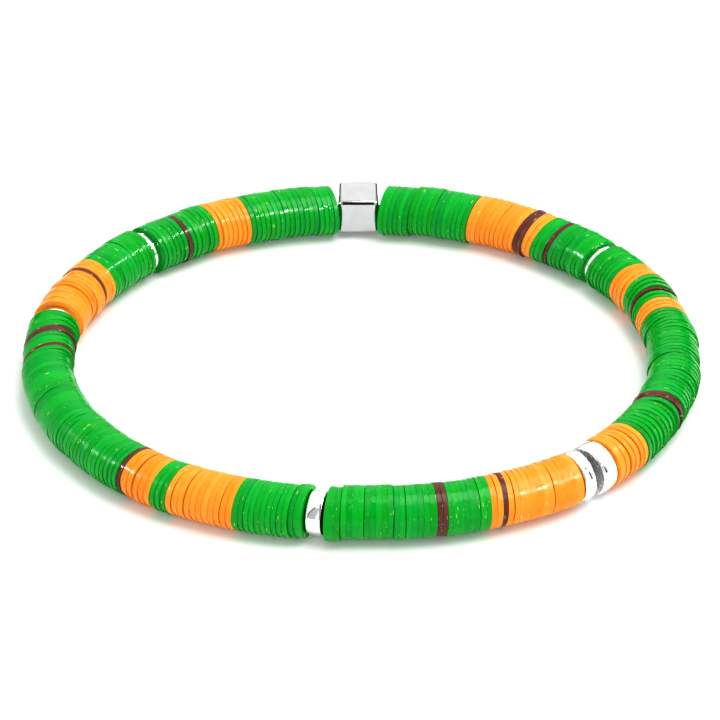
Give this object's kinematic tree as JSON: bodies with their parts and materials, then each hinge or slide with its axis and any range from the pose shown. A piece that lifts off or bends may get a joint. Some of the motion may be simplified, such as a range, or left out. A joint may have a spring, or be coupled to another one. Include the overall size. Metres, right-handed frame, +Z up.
{
  "type": "beaded elastic bracelet",
  "caption": "Slip-on elastic band of thin flat discs in colour blocks, with plain spacer rings, short barrel beads and a cube bead on one stretch cord.",
  "frame": {"origin": "under the middle of the lying loop, on the surface it lies on", "axes": "+Z up, +X along the loop's long way, +Y towards the cube bead"},
  "size_m": [0.0774, 0.0634, 0.0062],
  "materials": {
    "green_disc": "semi-gloss punched vinyl, bright green with faint specks",
    "orange_disc": "semi-gloss punched vinyl, light orange",
    "brown_disc": "semi-gloss punched vinyl, dark reddish brown",
    "silver_bead": "polished silver-coloured metal with softly rounded rims",
    "elastic_cord": "milky translucent elastic cord"
  },
  "bodies": {
    "left_end": {"orange_discs_08": "orange_disc", "green_discs_13": "green_disc", "orange_discs_09": "orange_disc", "green_discs_14": "green_disc", "green_discs_15": "green_disc", "green_discs_16": "green_disc", "green_discs_17": "green_disc", "green_discs_18": "green_disc", "orange_discs_10": "orange_disc", "orange_discs_11": "orange_disc", "green_discs_19": "green_disc", "green_discs_20": "green_disc", "green_discs_21": "green_disc", "orange_discs_12": "orange_disc", "elastic_cord": "elastic_cord"},
    "right_end": {"orange_discs_01": "orange_disc", "orange_discs_02": "orange_disc", "green_discs_02": "green_disc", "green_discs_03": "green_disc", "green_discs_04": "green_disc", "orange_discs_03": "orange_disc", "green_discs_05": "green_disc", "green_discs_06": "green_disc", "orange_discs_04": "orange_disc", "green_discs_07": "green_disc", "green_discs_08": "green_disc", "green_discs_09": "green_disc", "orange_discs_05": "orange_disc", "orange_discs_06": "orange_disc", "orange_discs_07": "orange_disc"},
    "front_right": {"green_discs_10": "green_disc", "green_discs_11": "green_disc"},
    "back_right": {"green_discs_01": "green_disc"},
    "front_left": {"green_discs_12": "green_disc"},
    "back_left": {"green_discs_22": "green_disc"},
    "cube_bead": {"cube_bead": "silver_bead"},
    "brown_disc_01": {"brown_disc_01": "brown_disc"},
    "brown_disc_02": {"brown_disc_02": "brown_disc"},
    "spacer_ring_01": {"spacer_ring_01": "silver_bead"},
    "brown_disc_03": {"brown_disc_03": "brown_disc"},
    "brown_disc_04": {"brown_disc_04": "brown_disc"},
    "barrel_bead_01": {"barrel_bead_01": "silver_bead"},
    "barrel_bead_02": {"barrel_bead_02": "silver_bead"},
    "brown_disc_05": {"brown_disc_05": "brown_disc"},
    "brown_disc_06": {"brown_disc_06": "brown_disc"},
    "spacer_ring_02": {"spacer_ring_02": "silver_bead"},
    "brown_disc_07": {"brown_disc_07": "brown_disc"},
    "brown_disc_08": {"brown_disc_08": "brown_disc"},
    "brown_disc_09": {"brown_disc_09": "brown_disc"},
    "spacer_ring_03": {"spacer_ring_03": "silver_bead"},
    "brown_disc_10": {"brown_disc_10": "brown_disc"},
    "spacer_ring_04": {"spacer_ring_04": "silver_bead"},
    "brown_disc_11": {"brown_disc_11": "brown_disc"}
  },
  "joints": [
    {"name": "stretch", "type": "slide", "parent": "left_end", "child": "right_end", "axis": [1, 0, 0], "range_m": [0, 0.012], "stiffness_N_per_m": 150, "deforming": ["elastic_cord"]},
    {"name": "front_right_gap", "type": "slide", "parent": "left_end", "child": "front_right", "axis": [1, 0, 0], "range_m": [0, 0.0081]},
    {"name": "back_right_gap", "type": "slide", "parent": "left_end", "child": "back_right", "axis": [1, 0, 0], "range_m": [0, 0.0081]},
    {"name": "front_left_gap", "type": "slide", "parent": "left_end", "child": "front_left", "axis": [1, 0, 0], "range_m": [0, 0.004]},
    {"name": "back_left_gap", "type": "slide", "parent": "left_end", "child": "back_left", "axis": [1, 0, 0], "range_m": [0, 0.004]},
    {"name": "cube_bead_spin", "type": "hinge", "parent": "back_left", "child": "cube_bead", "pos_m": [-0.00038, 0.02912, 0.00312], "axis": [1, 0.0069, 0], "continuous": true},
    {"name": "brown_disc_01_spin", "type": "hinge", "parent": "right_end", "child": "brown_disc_01", "pos_m": [0.02026, 0.02377, 0.00305], "axis": [0.7179, -0.6741, -0.1736], "continuous": true},
    {"name": "brown_disc_02_spin", "type": "hinge", "parent": "right_end", "child": "brown_disc_02", "pos_m": [0.02365, 0.02163, 0.00299], "axis": [0.6862, -0.6971, -0.2079], "continuous": true},
    {"name": "spacer_ring_01_spin", "type": "hinge", "parent": "right_end", "child": "spacer_ring_01", "pos_m": [0.02821, 0.01758, 0.003], "axis": [0.5514, -0.8225, -0.1392], "continuous": true},
    {"name": "brown_disc_03_spin", "type": "hinge", "parent": "right_end", "child": "brown_disc_03", "pos_m": [0.03387, 0.00832, 0.00308], "axis": [0.2051, -0.9564, 0.2079], "continuous": true},
    {"name": "brown_disc_04_spin", "type": "hinge", "parent": "right_end", "child": "brown_disc_04", "pos_m": [0.03291, -0.01123, 0.00313], "axis": [-0.1534, -0.9882, 0], "continuous": true},
    {"name": "barrel_bead_01_spin", "type": "hinge", "parent": "right_end", "child": "barrel_bead_01", "pos_m": [0.02529, -0.02073, 0.003], "axis": [-0.6865, -0.7252, 0.0523], "continuous": true},
    {"name": "barrel_bead_02_spin", "type": "hinge", "parent": "right_end", "child": "barrel_bead_02", "pos_m": [0.02341, -0.02211, 0.003], "axis": [-0.8066, -0.5909, 0.0175], "continuous": true},
    {"name": "brown_disc_05_spin", "type": "hinge", "parent": "right_end", "child": "brown_disc_05", "pos_m": [0.01487, -0.02626, 0.00304], "axis": [-0.9658, -0.2498, 0.0698], "continuous": true},
    {"name": "brown_disc_06_spin", "type": "hinge", "parent": "front_right", "child": "brown_disc_06", "pos_m": [0.00827, -0.02792, 0.00307], "axis": [-0.9823, -0.1799, 0.0523], "continuous": true},
    {"name": "spacer_ring_02_spin", "type": "hinge", "parent": "front_left", "child": "spacer_ring_02", "pos_m": [-0.00464, -0.02838, 0.003], "axis": [-0.9608, 0.2752, -0.0349], "continuous": true},
    {"name": "brown_disc_07_spin", "type": "hinge", "parent": "left_end", "child": "brown_disc_07", "pos_m": [-0.02436, -0.02147, 0.003], "axis": [-0.6403, 0.7679, -0.0175], "continuous": true},
    {"name": "brown_disc_08_spin", "type": "hinge", "parent": "left_end", "child": "brown_disc_08", "pos_m": [-0.0355, -0.00166, 0.00301], "axis": [-0.3094, 0.9452, 0.1045], "continuous": true},
    {"name": "brown_disc_09_spin", "type": "hinge", "parent": "left_end", "child": "brown_disc_09", "pos_m": [-0.03551, 0.00121, 0.00304], "axis": [-0.2828, 0.9566, 0.0698], "continuous": true},
    {"name": "spacer_ring_03_spin", "type": "hinge", "parent": "left_end", "child": "spacer_ring_03", "pos_m": [-0.03497, 0.00524, 0.003], "axis": [0.1199, 0.9922, -0.0349], "continuous": true},
    {"name": "brown_disc_10_spin", "type": "hinge", "parent": "left_end", "child": "brown_disc_10", "pos_m": [-0.0324, 0.01206, 0.00301], "axis": [0.4034, 0.909, -0.1045], "continuous": true},
    {"name": "spacer_ring_04_spin", "type": "hinge", "parent": "left_end", "child": "spacer_ring_04", "pos_m": [-0.02578, 0.02003, 0.003], "axis": [0.6492, 0.7606, 0], "continuous": true},
    {"name": "brown_disc_11_spin", "type": "hinge", "parent": "left_end", "child": "brown_disc_11", "pos_m": [-0.02205, 0.02267, 0.003], "axis": [0.7128, 0.7012, -0.0175], "continuous": true}
  ],
  "couplings": [
    {"joint": "front_right_gap", "follows": "stretch", "ratio": 0.6667},
    {"joint": "back_right_gap", "follows": "stretch", "ratio": 0.6667},
    {"joint": "front_left_gap", "follows": "stretch", "ratio": 0.3333},
    {"joint": "back_left_gap", "follows": "stretch", "ratio": 0.3333}
  ]
}
